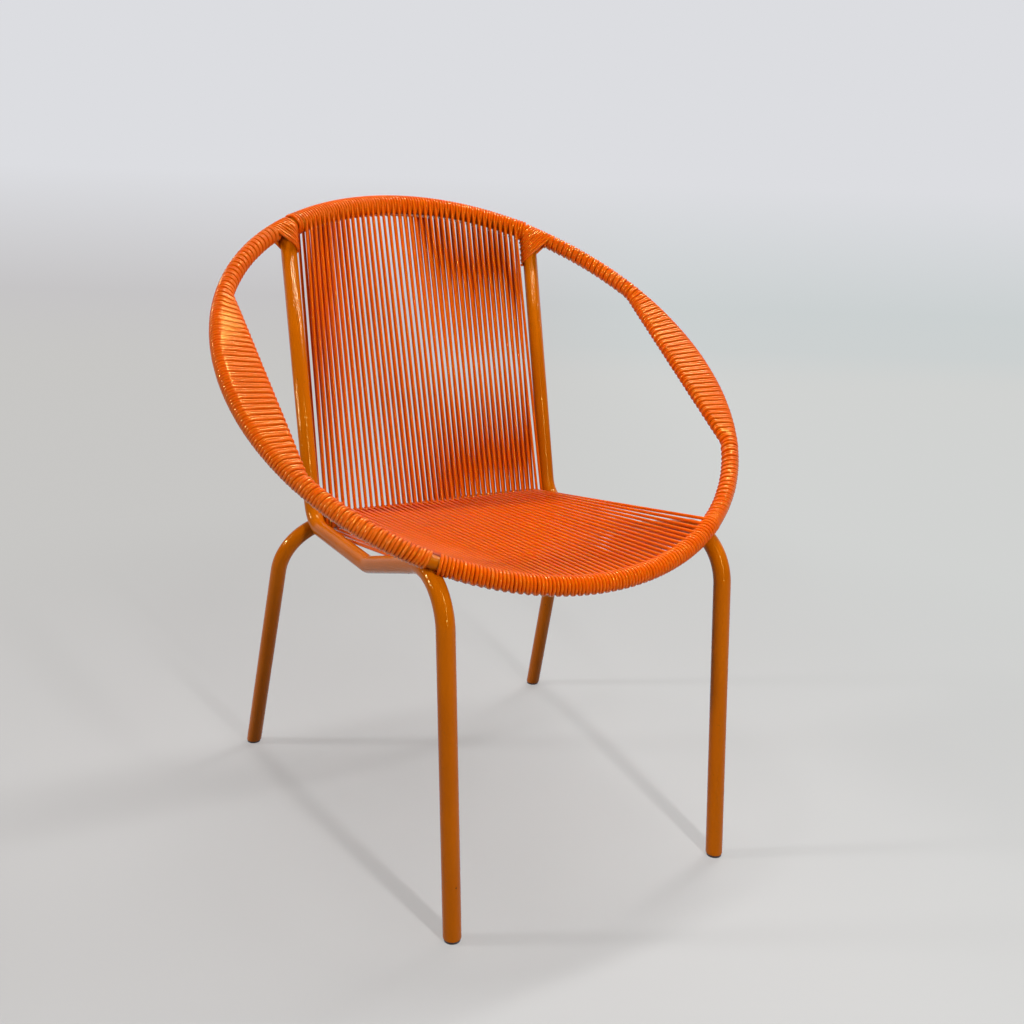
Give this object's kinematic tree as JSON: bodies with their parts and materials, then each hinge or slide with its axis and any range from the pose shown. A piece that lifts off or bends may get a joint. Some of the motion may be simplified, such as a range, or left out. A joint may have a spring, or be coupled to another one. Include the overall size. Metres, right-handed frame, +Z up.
{
  "type": "acapulco chair",
  "caption": "Patio chair with a tilted round hoop on bent tube legs, its seat, back and arms strung and wound with glossy cord.",
  "frame": {"origin": "on the floor under the middle of the chair's bounding box", "axes": "+Z up, the chair faces -Y, +X is the sitter's left"},
  "size_m": [0.7244, 0.6272, 0.8419],
  "materials": {
    "frame_paint": "gloss",
    "cord": "gloss",
    "plug": "matte"
  },
  "bodies": {
    "root": {"hoop_tube": "frame_paint", "rear_leg_frame": "frame_paint", "left_side_tube": "frame_paint", "right_side_tube": "frame_paint", "left_arm_bar": "frame_paint", "right_arm_bar": "frame_paint", "front_left_foot_plug": "plug", "front_right_foot_plug": "plug", "rear_left_foot_plug": "plug", "rear_right_foot_plug": "plug", "seat_cord": "cord", "back_cord": "cord", "left_lower_rim_winding": "cord", "right_lower_rim_winding": "cord", "left_arm_winding": "cord", "right_arm_winding": "cord", "left_upper_rim_winding": "cord", "right_upper_rim_winding": "cord", "left_corner_lashing": "cord", "right_corner_lashing": "cord"}
  },
  "joints": []
}
